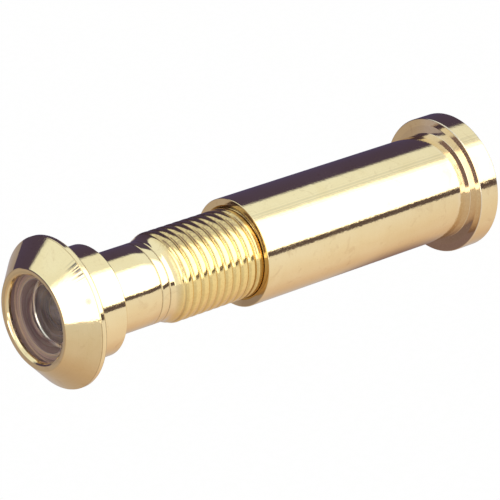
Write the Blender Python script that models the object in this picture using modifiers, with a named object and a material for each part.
"""Door viewer (peephole) in polished brass: an outer barrel with the wide-angle
lens stack screws into a sleeve that carries the eyepiece.

Metres, +Z up. The optical axis is world X: the street-side head is at -X, the
room-side flange at +X, and the origin is the middle of the overall length at
the rest extension. Sizes are in millimetres. S_ values are stations along the
axis, counted from the front of the head; R_ values are radii from the axis.
"""

import math

import bmesh
import bpy

MM = 0.001

# ---------------------------------------------------------------- shared sizes
OVERALL = 68.6          # head front to flange outer face, at rest
S_ORIGIN = OVERALL / 2  # station that becomes x = 0
GAP = 0.1               # play between pieces that rest on each other
EDGE_BREAK = 0.08       # small chamfer on the rim band and the sleeve mouth

FACETS = 36             # sides of a turned surface
THREAD_STEPS = 18       # steps of the thread in one turn

# Screw thread M12 x 1.25, right hand
PITCH = 1.25
R_CREST = 5.85
CREST_HALF = PITCH / 16  # half the width of the ridge's crest
FLANK = math.tan(math.radians(30))
S_THREAD_START = 18.45
THREAD_ROOT = 0.2       # how far a ridge's foot lies below the turned surface

# Pockets that hold the lenses
R_POCKET_A = 5.95       # objective lens pocket
S_POCKET_A = 2.90
R_POCKET_B = 5.05       # second and third lens pocket
S_POCKET_B = 8.20
S_STOP_SEAT = 62.6      # field stop's seat, start of the eyepiece pocket
R_LENS_POCKET = 6.5
S_LENS_POCKET = 66.6
R_RING_POCKET = 7.2

# Pieces that fit in those pockets
R_STACK = R_POCKET_B - GAP
R_EYE = R_LENS_POCKET - GAP

# ---------------------------------------------------------------- clean scene
for old in list(bpy.data.objects):
    bpy.data.objects.remove(old, do_unlink=True)

parts = bpy.data.collections.new("door_viewer")
cutters = bpy.data.collections.new("door_viewer_cutters")
bpy.context.scene.collection.children.link(parts)
bpy.context.scene.collection.children.link(cutters)
cutters.hide_render = True


# ---------------------------------------------------------------- materials
def principled(name, colour, metallic, roughness, transmission=0.0):
    material = bpy.data.materials.new(name)
    material.use_nodes = True
    shader = material.node_tree.nodes["Principled BSDF"]
    shader.inputs["Base Color"].default_value = (*colour, 1.0)
    shader.inputs["Metallic"].default_value = metallic
    shader.inputs["Roughness"].default_value = roughness
    shader.inputs["Transmission Weight"].default_value = transmission
    material.diffuse_color = (*colour, 1.0)
    return material


def brass(name, colour, roughness):
    return principled(name, colour, metallic=1.0, roughness=roughness)


def glass(name, colour):
    return principled(name, colour, metallic=0.0, roughness=0.0, transmission=1.0)


BRASS_HEAD = brass("polished_brass_head", colour=(0.86, 0.66, 0.34), roughness=0.10)
BRASS_SLEEVE = brass("polished_brass_sleeve", colour=(0.85, 0.65, 0.34), roughness=0.12)
BRASS_RING = brass("turned_brass_ring", colour=(0.80, 0.58, 0.26), roughness=0.22)
BRASS_FRONT = brass("brass_spacer_front", colour=(0.62, 0.44, 0.24), roughness=0.25)
BRASS_REAR = brass("brass_spacer_rear", colour=(0.58, 0.41, 0.23), roughness=0.28)
BLACK_STOP = principled(
    "black_field_stop", colour=(0.025, 0.025, 0.027), metallic=0.0, roughness=0.6
)
GLASS_OBJECTIVE = glass("objective_glass", colour=(0.95, 0.97, 0.97))
GLASS_SECOND = glass("second_glass", colour=(0.94, 0.96, 0.97))
GLASS_THIRD = glass("third_glass", colour=(0.93, 0.95, 0.97))
GLASS_EYE = glass("eyepiece_glass", colour=(0.95, 0.97, 0.96))


# ---------------------------------------------------------------- profiles
def arc(centre_s, centre_r, radius, start, end, count):
    """Points on a circle in the (station, radius) half-plane; degrees from +station."""
    points = []
    for i in range(count + 1):
        angle = math.radians(start + (end - start) * i / count)
        points.append(
            (centre_s + radius * math.cos(angle), centre_r + radius * math.sin(angle))
        )
    return points


def sagitta(curve, half_width):
    return curve - math.sqrt(curve * curve - half_width * half_width)


def dome(edge_s, curve, half_width, count, bulges_forward):
    """A spherical lens face from the axis outwards, its edge at station edge_s;
    forward is towards the head."""
    side = 1 if bulges_forward else -1
    apex_s = edge_s - side * sagitta(curve, half_width)
    points = []
    for i in range(count + 1):
        radius = half_width * i / count
        points.append((apex_s + side * sagitta(curve, radius), radius))
    return points


def profile_mesh(name, profile, closed, turned_by=0.0):
    """Edges through (station, radius) points, in a half-plane through local Z,
    which is the axis; turned_by is the half-plane's angle from local X."""
    across, aside = math.cos(turned_by), math.sin(turned_by)
    edges = [(i, i + 1) for i in range(len(profile) - 1)]
    if closed:
        edges.append((len(profile) - 1, 0))
    mesh = bpy.data.meshes.new(name)
    mesh.from_pydata(
        [
            (radius * across * MM, radius * aside * MM, (station - S_ORIGIN) * MM)
            for station, radius in profile
        ],
        edges,
        [],
    )
    return mesh


# ---------------------------------------------------------------- solids
def along_x(obj):
    """Turns local Z onto world X."""
    obj.rotation_euler = (0.0, math.pi / 2, 0.0)


def screw(obj, steps, pitch=0.0, turns=1):
    """Sweeps the profile round local Z; a pitch makes it a helix."""
    modifier = obj.modifiers.new("turn", "SCREW")
    modifier.axis = "Z"
    modifier.angle = 2 * math.pi
    modifier.steps = steps
    modifier.render_steps = steps
    modifier.screw_offset = pitch * MM
    modifier.iterations = turns
    modifier.use_smooth_shade = True
    modifier.use_merge_vertices = pitch == 0.0
    modifier.merge_threshold = 0.000001


def turned(name, profile, material, closed=True):
    """A lathe-turned piece. A lens profile starts and ends on the axis, so it
    stays open there."""
    obj = bpy.data.objects.new(name, profile_mesh(name, profile, closed))
    parts.objects.link(obj)
    along_x(obj)
    screw(obj, FACETS)
    obj.data.materials.append(material)
    return obj


def boolean_helper(name, mesh):
    """A hidden object that a boolean adds or cuts away."""
    obj = bpy.data.objects.new(name, mesh)
    cutters.objects.link(obj)
    obj.hide_render = True
    obj.display_type = "WIRE"
    return obj


def boolean(obj, other, operation):
    modifier = obj.modifiers.new(other.name, "BOOLEAN")
    modifier.operation = operation
    modifier.solver = "EXACT"
    modifier.object = other


def helix(name, first_s, turns, r_foot, r_crest, crest_half):
    """A closed right-hand thread ridge with 30 degree flanks, ends filled."""
    foot_half = crest_half + (r_crest - r_foot) * FLANK
    section = [
        (first_s + foot_half, r_foot),
        (first_s + crest_half, r_crest),
        (first_s - crest_half, r_crest),
        (first_s - foot_half, r_foot),
    ]
    # Half a facet round, so the thread's ends miss the edges of the turned body.
    outline = profile_mesh(name + "_guide", section, True, math.pi / FACETS)
    guide = bpy.data.objects.new(name + "_guide", outline)
    cutters.objects.link(guide)
    screw(guide, THREAD_STEPS, PITCH, turns)
    bpy.context.view_layer.update()
    graph = bpy.context.evaluated_depsgraph_get()
    mesh = bpy.data.meshes.new_from_object(guide.evaluated_get(graph))
    bpy.data.objects.remove(guide, do_unlink=True)

    shape = bmesh.new()
    shape.from_mesh(mesh)
    open_edges = [edge for edge in shape.edges if edge.is_boundary]
    bmesh.ops.holes_fill(shape, edges=open_edges, sides=0)
    bmesh.ops.recalc_face_normals(shape, faces=shape.faces)
    shape.to_mesh(mesh)
    shape.free()
    mesh.name = name
    ridge = boolean_helper(name, mesh)
    along_x(ridge)
    return ridge


def cut_slot(piece, name, size, centre):
    """Cuts a box of the given (x, y, z) size, centred at (station, y, z)."""
    shape = bmesh.new()
    bmesh.ops.create_cube(shape, size=1.0)
    for vert in shape.verts:
        vert.co.x *= size[0] * MM
        vert.co.y *= size[1] * MM
        vert.co.z *= size[2] * MM
    mesh = bpy.data.meshes.new(name)
    shape.to_mesh(mesh)
    shape.free()
    cutter = boolean_helper(name, mesh)
    cutter.location = ((centre[0] - S_ORIGIN) * MM, centre[1] * MM, centre[2] * MM)
    boolean(piece, cutter, "DIFFERENCE")


# ---------------------------------------------------------------- the barrel
R_APERTURE = 5.45       # clear opening in the lip
S_APERTURE = 0.42       # the opening lies this far behind the front edge
S_LIP_BACK = 0.80
R_LIP = 6.35            # front edge of the lip
LIP_EASE = 0.10         # the front edge is eased by this much, both ways
LIP_FLARE = 0.035       # the cone starts this far outside the lip's radius
S_RIM = 3.0             # the cone ends here
R_RIM = 9.5
S_RIM_BACK = 3.87       # back face of the head: bears on the door
R_COLLAR = 7.0          # fills the 14 mm door hole
S_COLLAR_END = 8.9
COLLAR_CHAMFER = 0.25
R_NECK = 5.18
S_BARREL_END = 42.0
END_CHAMFER = 0.35
R_LIGHT_BORE = 4.0
BARREL_TURNS = 18


def build_barrel():
    """Lip round the objective, cone, rim band, collar, plain neck, threaded tail."""
    outside = [
        (S_BARREL_END, R_NECK - END_CHAMFER),
        (S_BARREL_END - END_CHAMFER, R_NECK),
        (S_COLLAR_END, R_NECK),
        (S_COLLAR_END, R_COLLAR - COLLAR_CHAMFER),
        (S_COLLAR_END - COLLAR_CHAMFER, R_COLLAR),
        (S_RIM_BACK, R_COLLAR),
        (S_RIM_BACK, R_RIM - EDGE_BREAK),
        (S_RIM_BACK - EDGE_BREAK, R_RIM),
        (S_RIM, R_RIM),
        (LIP_EASE, R_LIP + LIP_FLARE),
        (0.0, R_LIP - LIP_EASE),
    ]
    inside = [
        (S_APERTURE, R_APERTURE),
        (S_LIP_BACK, R_APERTURE),
        (S_LIP_BACK, R_POCKET_A),
        (S_POCKET_A, R_POCKET_A),
        (S_POCKET_A, R_POCKET_B),
        (S_POCKET_B, R_POCKET_B),
        (S_POCKET_B, R_LIGHT_BORE),
        (S_BARREL_END, R_LIGHT_BORE),
    ]
    barrel = turned("barrel", outside + inside, BRASS_HEAD)
    male_thread = helix(
        "male_thread",
        first_s=S_THREAD_START,
        turns=BARREL_TURNS,
        r_foot=R_NECK - THREAD_ROOT,
        r_crest=R_CREST,
        crest_half=CREST_HALF,
    )
    boolean(barrel, male_thread, "UNION")
    return barrel


# ---------------------------------------------------------------- lens stack
# Stations from the head inwards; each piece rests a GAP behind the last.
OBJECTIVE_R = R_POCKET_A - GAP
OBJECTIVE_APEX = 0.55
OBJECTIVE_REAR = S_POCKET_A - GAP
FRONT_SPACER_FRONT, FRONT_SPACER_REAR = 2.95, 3.70
SECOND_FRONT, SECOND_REAR = FRONT_SPACER_REAR + GAP, 5.60
REAR_SPACER_FRONT, REAR_SPACER_REAR = SECOND_REAR + GAP, 6.30
THIRD_FRONT, THIRD_REAR = REAR_SPACER_REAR + GAP, S_POCKET_B - GAP

# Radius of curvature of the lens faces, and the half width of the curved part
OBJECTIVE_CURVE = 40.0
OBJECTIVE_HOLLOW_CURVE, OBJECTIVE_HOLLOW_R = 7.0, 4.5
SECOND_HOLLOW_CURVE, SECOND_HOLLOW_R = 6.0, 3.6
THIRD_CURVE, THIRD_FACE_R = 15.0, 3.8

FRONT_SPACER_BORE = 4.45
REAR_SPACER_BORE = 3.80
SPACER_EASE = 0.12


def build_objective():
    """Meniscus: gently domed front, deep hollow rear."""
    edge_s = OBJECTIVE_APEX + sagitta(OBJECTIVE_CURVE, OBJECTIVE_R)
    front = dome(edge_s, OBJECTIVE_CURVE, OBJECTIVE_R, 4, bulges_forward=True)
    hollow = dome(
        OBJECTIVE_REAR, OBJECTIVE_HOLLOW_CURVE, OBJECTIVE_HOLLOW_R, 5, bulges_forward=True
    )
    profile = hollow + [(OBJECTIVE_REAR, OBJECTIVE_R)] + front[::-1]
    return turned("objective_lens", profile, GLASS_OBJECTIVE, closed=False)


def build_spacer(name, front_s, rear_s, r_inner, material):
    """A plain ring, eased at its inner edges to keep stray light down."""
    profile = [
        (rear_s, R_STACK),
        (front_s, R_STACK),
        (front_s, r_inner + SPACER_EASE),
        (front_s + SPACER_EASE, r_inner),
        (rear_s - SPACER_EASE, r_inner),
        (rear_s, r_inner + SPACER_EASE),
    ]
    return turned(name, profile, material)


def build_second_lens():
    """Flat front, hollow rear."""
    hollow = dome(SECOND_REAR, SECOND_HOLLOW_CURVE, SECOND_HOLLOW_R, 4, bulges_forward=True)
    flat = [(SECOND_REAR, R_STACK), (SECOND_FRONT, R_STACK), (SECOND_FRONT, 0.0)]
    return turned("second_lens", hollow + flat, GLASS_SECOND, closed=False)


def build_third_lens():
    """Hollow on both faces."""
    front = dome(THIRD_FRONT, THIRD_CURVE, THIRD_FACE_R, 4, bulges_forward=False)
    rear = dome(THIRD_REAR, THIRD_CURVE, THIRD_FACE_R, 4, bulges_forward=True)
    profile = rear + [(THIRD_REAR, R_STACK), (THIRD_FRONT, R_STACK)] + front[::-1]
    return turned("third_lens", profile, GLASS_THIRD, closed=False)


# ---------------------------------------------------------------- the sleeve
R_SLEEVE = 7.0
S_SLEEVE_MOUTH = 30.86
R_MOUTH = 6.05
S_THREAD_BORE = 31.5
R_THREAD_BORE = 5.4
S_RELIEF = 46.0
R_RELIEF = 6.1
RELIEF_TAPER = 0.6      # length of the cone from thread bore to relief
S_SEAT = 65.3           # flange face that bears on the door
R_FLANGE = 9.0
FLANGE_ROUND = 0.55     # round on the flange's door-side edge
FLANGE_CHAMFER = 0.25
POCKET_CHAMFER = 0.3    # at the ring pocket's mouth

R_GROOVE = 6.0          # bottom of the female thread
FLANK_PLAY = 0.09       # axial play on each flank
FEMALE_LEAD = 9         # whole pitches from the male thread's start, to stay in phase
FEMALE_TURNS = 14

COIN_SLOT_WIDTH = 1.6
COIN_SLOT_DEPTH = 1.1
R_COIN_SLOT = 8.2       # outer end of the slot
COIN_SLOT_OVERRUN = 0.4  # the cutter starts this far inside the pocket wall


def build_sleeve():
    outside = [
        (OVERALL, R_FLANGE - FLANGE_CHAMFER),
        (OVERALL - FLANGE_CHAMFER, R_FLANGE),
        *arc(S_SEAT + FLANGE_ROUND, R_FLANGE - FLANGE_ROUND, FLANGE_ROUND, 90, 180, 3),
        (S_SEAT, R_SLEEVE),
        (S_SLEEVE_MOUTH + EDGE_BREAK, R_SLEEVE),
        (S_SLEEVE_MOUTH, R_SLEEVE - EDGE_BREAK),
    ]
    inside = [
        (S_SLEEVE_MOUTH, R_MOUTH),
        (S_THREAD_BORE, R_THREAD_BORE),
        (S_RELIEF, R_THREAD_BORE),
        (S_RELIEF + RELIEF_TAPER, R_RELIEF),
        (S_STOP_SEAT, R_RELIEF),
        (S_STOP_SEAT, R_LENS_POCKET),
        (S_LENS_POCKET, R_LENS_POCKET),
        (S_LENS_POCKET, R_RING_POCKET),
        (OVERALL - POCKET_CHAMFER, R_RING_POCKET),
        (OVERALL, R_RING_POCKET + POCKET_CHAMFER),
    ]
    sleeve = turned("sleeve", outside + inside, BRASS_SLEEVE)
    female_thread = helix(
        "female_thread",
        first_s=S_THREAD_START + FEMALE_LEAD * PITCH,
        turns=FEMALE_TURNS,
        r_foot=R_THREAD_BORE - THREAD_ROOT,
        r_crest=R_GROOVE,
        crest_half=CREST_HALF + FLANK_PLAY - (R_GROOVE - R_CREST) * FLANK,
    )
    boolean(sleeve, female_thread, "DIFFERENCE")

    # Two coin slots in the flange's outer face turn the sleeve from indoors.
    inner = R_RING_POCKET - COIN_SLOT_OVERRUN
    for side, suffix in ((1, "top"), (-1, "bottom")):
        cut_slot(
            sleeve,
            "coin_slot_" + suffix,
            size=(2 * COIN_SLOT_DEPTH, COIN_SLOT_WIDTH, R_COIN_SLOT - inner),
            centre=(OVERALL, 0.0, side * (R_COIN_SLOT + inner) / 2),
        )


# ---------------------------------------------------------------- eyepiece
STOP_FRONT, STOP_REAR = S_STOP_SEAT + GAP, 63.30
STOP_BORE_FRONT, STOP_BORE_REAR = 3.6, 3.3
EYE_FLAT = STOP_REAR + GAP
EYE_EDGE = 64.60        # edge of the lens's domed room-side face
EYE_CURVE = 14.0

R_EYE_OPENING = 5.3
S_RING_FRONT = 65.3     # the ring's nose reaches into the lens pocket
R_RING_FRONT = 5.75
S_OPENING_START, S_OPENING_END = 66.2, 67.0
S_RING_FACE = 67.9
RING_FLARE = 0.9        # widening of the opening at the face
RING_CHAMFER = 0.2
NOTCH_DEPTH = 0.6
NOTCH_WIDTH = 1.2
NOTCH_REACH = 0.8       # the cutter reaches this far each side of the pocket wall


def build_field_stop():
    profile = [
        (STOP_REAR, R_EYE),
        (STOP_FRONT, R_EYE),
        (STOP_FRONT, STOP_BORE_FRONT),
        (STOP_REAR, STOP_BORE_REAR),
    ]
    turned("field_stop", profile, BLACK_STOP)


def build_eyepiece_lens():
    """Flat towards the head, domed towards the room."""
    face = dome(EYE_EDGE, EYE_CURVE, R_EYE, 6, bulges_forward=False)
    profile = face + [(EYE_FLAT, R_EYE), (EYE_FLAT, 0.0)]
    turned("eyepiece_lens", profile, GLASS_EYE, closed=False)


def build_eyepiece_ring():
    r_outer = R_RING_POCKET - GAP
    s_shoulder = S_LENS_POCKET + GAP
    profile = [
        (S_RING_FACE, r_outer - RING_CHAMFER),
        (S_RING_FACE - RING_CHAMFER, r_outer),
        (s_shoulder, r_outer),
        (s_shoulder, R_EYE),
        (S_RING_FRONT, R_EYE),
        (S_RING_FRONT, R_RING_FRONT),
        (S_OPENING_START, R_EYE_OPENING),
        (S_OPENING_END, R_EYE_OPENING),
        (S_RING_FACE, R_EYE_OPENING + RING_FLARE),
    ]
    ring = turned("eyepiece_ring", profile, BRASS_RING)
    # Two notches take the spanner that tightens the ring; "left" is +Y, as seen
    # from the street.
    for side, suffix in ((1, "left"), (-1, "right")):
        cut_slot(
            ring,
            "spanner_notch_" + suffix,
            size=(2 * NOTCH_DEPTH, 2 * NOTCH_REACH, NOTCH_WIDTH),
            centre=(S_RING_FACE, side * R_RING_POCKET, 0.0),
        )


# ---------------------------------------------------------------- assembly
moving_pieces = [
    build_barrel(),
    build_objective(),
    build_spacer(
        "front_spacer", FRONT_SPACER_FRONT, FRONT_SPACER_REAR, FRONT_SPACER_BORE, BRASS_FRONT
    ),
    build_second_lens(),
    build_spacer(
        "rear_spacer", REAR_SPACER_FRONT, REAR_SPACER_REAR, REAR_SPACER_BORE, BRASS_REAR
    ),
    build_third_lens(),
]
build_sleeve()
build_field_stop()
build_eyepiece_lens()
build_eyepiece_ring()

# The barrel and its lenses turn about the optical axis: their empty sits on it.
turn_axis = bpy.data.objects.new("barrel_turn_axis", None)
parts.objects.link(turn_axis)
for piece in moving_pieces:
    piece.parent = turn_axis
